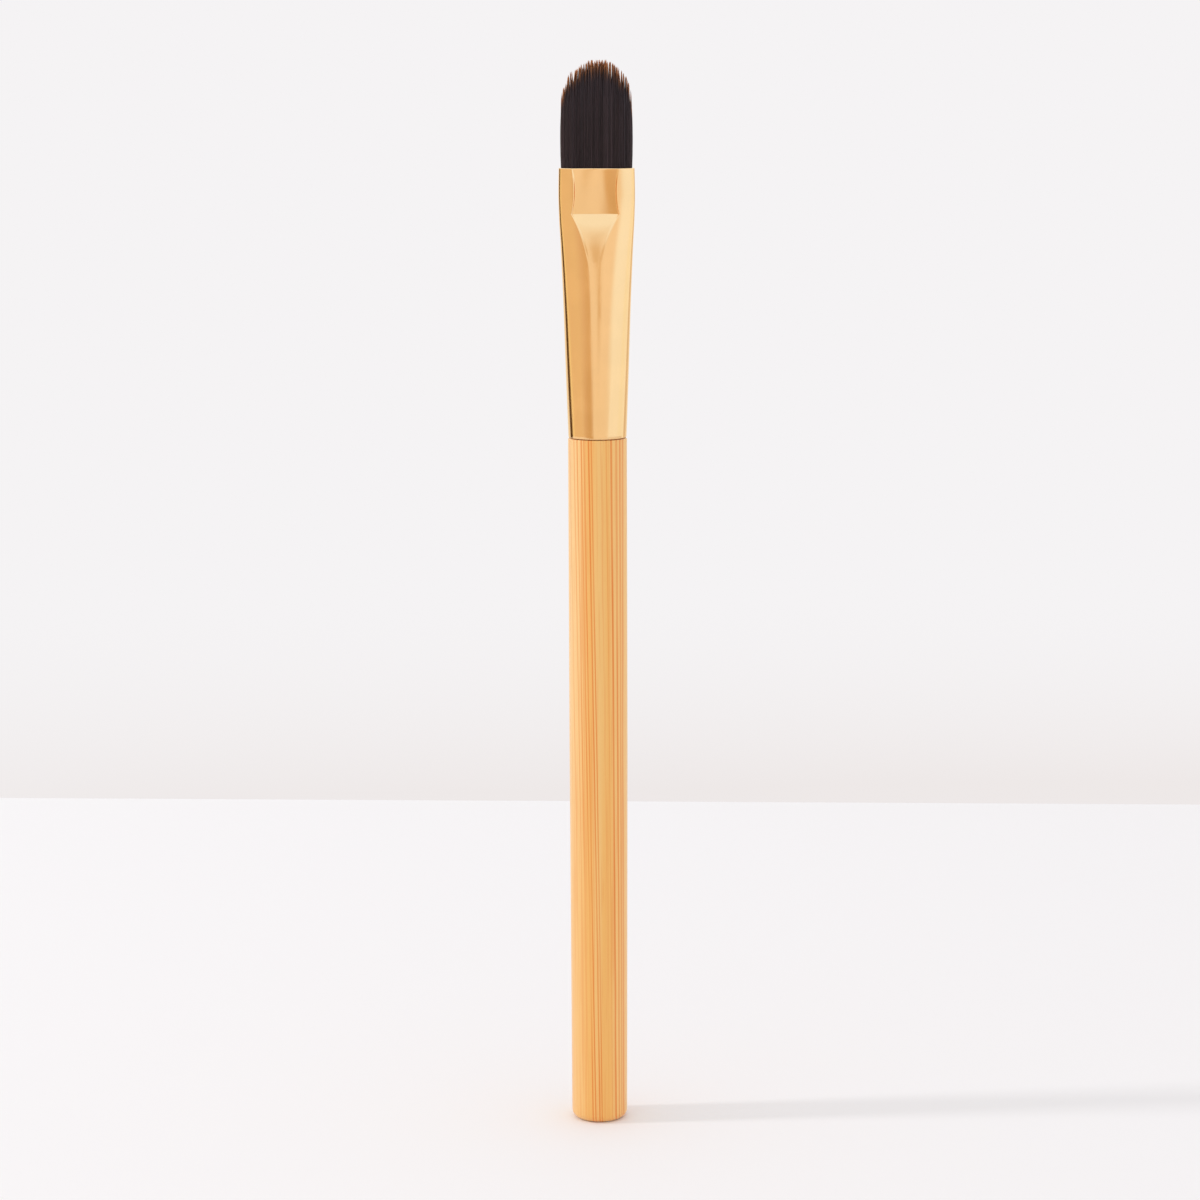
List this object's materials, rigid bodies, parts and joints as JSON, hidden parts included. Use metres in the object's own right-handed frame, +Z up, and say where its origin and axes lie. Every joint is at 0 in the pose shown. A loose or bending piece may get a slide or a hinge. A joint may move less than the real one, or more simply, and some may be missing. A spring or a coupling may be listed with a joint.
{
  "type": "flat concealer brush",
  "caption": "Flat filbert make-up brush: a turned bamboo handle, a polished gold ferrule drawn from round to oval with a pressed panel on each face, and a domed tuft of dark bristles.",
  "frame": {"origin": "centre of the flat butt that the brush stands on", "axes": "+Z up the brush from butt to bristle tips, X across the flat tuft's width, Y through its thickness"},
  "size_m": [0.0108, 0.0082, 0.152],
  "materials": {
    "bamboo": "satin, fine straight grain",
    "gold_metal": "polished, gold anodised",
    "filament": "synthetic bristle, lighter orange-brown tips",
    "resin": "cured clear resin",
    "glue": "cured adhesive"
  },
  "bodies": {
    "root": {"handle": "bamboo", "ferrule": "gold_metal", "bristle_tuft": "filament", "resin_bed": "resin", "handle_glue": "glue"}
  },
  "joints": []
}
